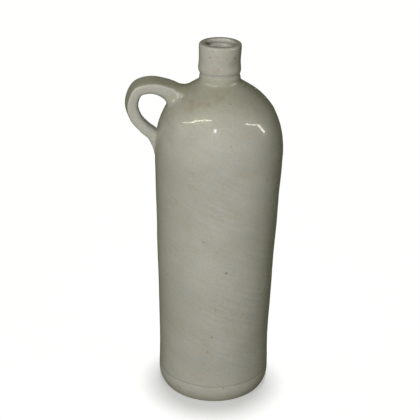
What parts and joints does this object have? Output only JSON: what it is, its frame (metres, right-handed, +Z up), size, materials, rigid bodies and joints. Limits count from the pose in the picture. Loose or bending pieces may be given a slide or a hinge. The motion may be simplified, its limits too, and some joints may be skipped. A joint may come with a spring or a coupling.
{
  "type": "stoneware water jug",
  "caption": "Tall glazed stoneware water jug with a round shoulder, a narrow collared neck and a small strap handle.",
  "frame": {"origin": "centre of the flat underside, on the jug's axis", "axes": "+Z up along the jug's axis towards the mouth, -X towards the handle, -Y towards the front"},
  "size_m": [0.1337, 0.1094, 0.32],
  "materials": {
    "wall_glaze": "gloss",
    "foot_glaze": "gloss",
    "collar_glaze": "gloss",
    "handle_glaze": "gloss",
    "raw_base": "matte"
  },
  "bodies": {
    "root": {"base_disc": "raw_base", "foot_ring": "foot_glaze", "body_wall": "wall_glaze", "neck_collar": "collar_glaze", "handle_strap": "handle_glaze", "handle_top_wad": "handle_glaze", "handle_tail_wad": "handle_glaze"}
  },
  "joints": []
}
